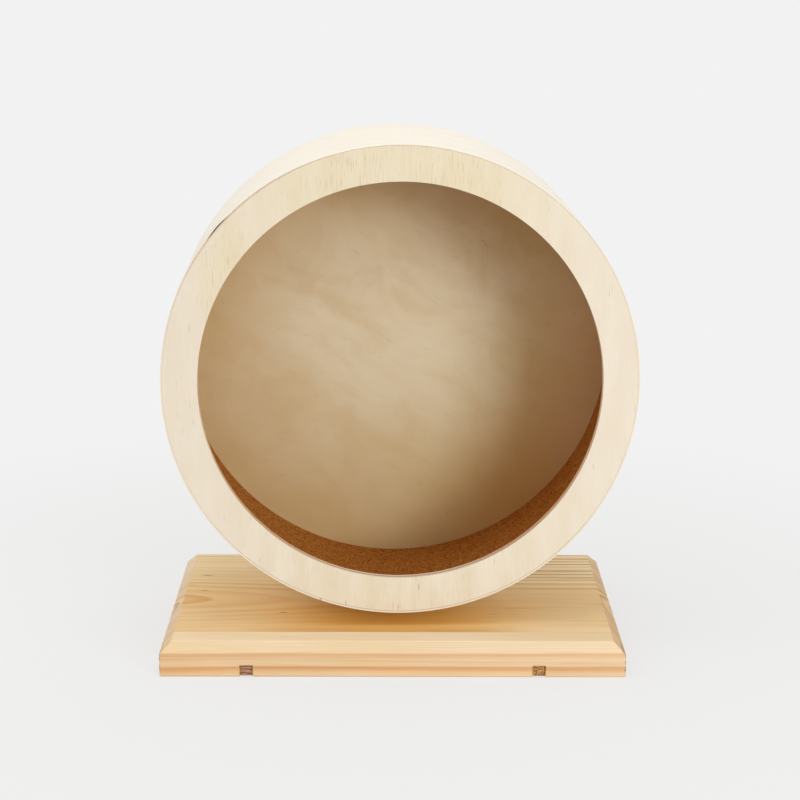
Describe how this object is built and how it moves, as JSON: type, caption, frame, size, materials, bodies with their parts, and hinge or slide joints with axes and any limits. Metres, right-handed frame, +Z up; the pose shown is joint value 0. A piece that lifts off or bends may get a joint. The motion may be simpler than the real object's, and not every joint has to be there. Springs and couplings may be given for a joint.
{
  "type": "rodent exercise wheel",
  "caption": "Free-standing running wheel for a small pet: an open plywood drum with a cork track, spinning on ball bearings in a pine post on a bevelled board.",
  "frame": {"origin": "on the floor, under the axle and under the middle of the wheel's width, in the board's flat underside", "axes": "+X to the right as seen from the wheel's open front, +Y to the back along the axle, +Z up"},
  "size_m": [0.2921, 0.1917, 0.3197],
  "materials": {
    "pine": "sanded pine, clear matt oil",
    "hardwood": "sawn hardwood, unfinished",
    "plywood": "sanded pale plywood, unfinished",
    "cork": "dark agglomerated cork, matt",
    "zinc_steel": "bright zinc plate",
    "bearing_steel": "ground and polished",
    "nylon": "natural nylon"
  },
  "bodies": {
    "stand": {"base_board": "pine", "left_batten": "hardwood", "right_batten": "hardwood", "post": "pine", "post_dowels": "hardwood", "post_screws": "zinc_steel", "front_bearing_outer_ring": "bearing_steel", "rear_bearing_outer_ring": "bearing_steel", "front_bearing_shields": "bearing_steel", "rear_bearing_shields": "bearing_steel"},
    "wheel": {"front_ring": "plywood", "rim_band": "plywood", "cork_track": "cork", "rear_disc": "plywood", "hub_flange": "zinc_steel", "flange_screws": "zinc_steel", "axle_bolt": "zinc_steel", "axle_spacer": "zinc_steel", "front_bearing_inner_ring": "bearing_steel", "bearing_spacer": "zinc_steel", "rear_bearing_inner_ring": "bearing_steel", "shim_washer": "zinc_steel", "lock_nut": "zinc_steel", "nut_insert": "nylon"},
    "front_ball_set": {"front_balls": "bearing_steel", "front_ball_cage": "nylon"},
    "rear_ball_set": {"rear_balls": "bearing_steel", "rear_ball_cage": "nylon"}
  },
  "joints": [
    {"name": "wheel_spin", "type": "hinge", "parent": "stand", "child": "wheel", "pos_m": [0, 0, 0.1747], "axis": [0, 1, 0], "continuous": true},
    {"name": "front_cage_spin", "type": "hinge", "parent": "stand", "child": "front_ball_set", "pos_m": [0, 0, 0.1747], "axis": [0, 1, 0], "continuous": true},
    {"name": "rear_cage_spin", "type": "hinge", "parent": "stand", "child": "rear_ball_set", "pos_m": [0, 0, 0.1747], "axis": [0, 1, 0], "continuous": true}
  ],
  "couplings": [
    {"joint": "front_cage_spin", "follows": "wheel_spin", "ratio": 0.3677},
    {"joint": "rear_cage_spin", "follows": "wheel_spin", "ratio": 0.3677}
  ]
}
